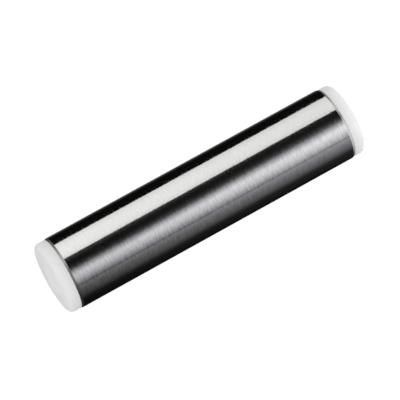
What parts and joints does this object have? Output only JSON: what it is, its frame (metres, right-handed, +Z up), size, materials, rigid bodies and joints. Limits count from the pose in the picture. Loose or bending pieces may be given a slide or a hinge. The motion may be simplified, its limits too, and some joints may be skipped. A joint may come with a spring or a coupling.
{
  "type": "piston pin",
  "caption": "Hollow ground steel piston pin whose open ends are plugged by crowned white plastic buttons that bear on the cylinder wall.",
  "frame": {"origin": "middle of the pin, on its axis", "axes": "+X along the pin from the left button to the right button; Y and Z are across the pin, with +Z up when it lies level"},
  "size_m": [0.09, 0.02, 0.02],
  "materials": {
    "ground_steel": "hardened, ground and lapped bare steel with fine marks around the pin",
    "white_plastic": "turned white PTFE, satin and slightly waxy"
  },
  "bodies": {
    "root": {"pin_tube": "ground_steel", "left_button": "white_plastic", "right_button": "white_plastic"}
  },
  "joints": []
}
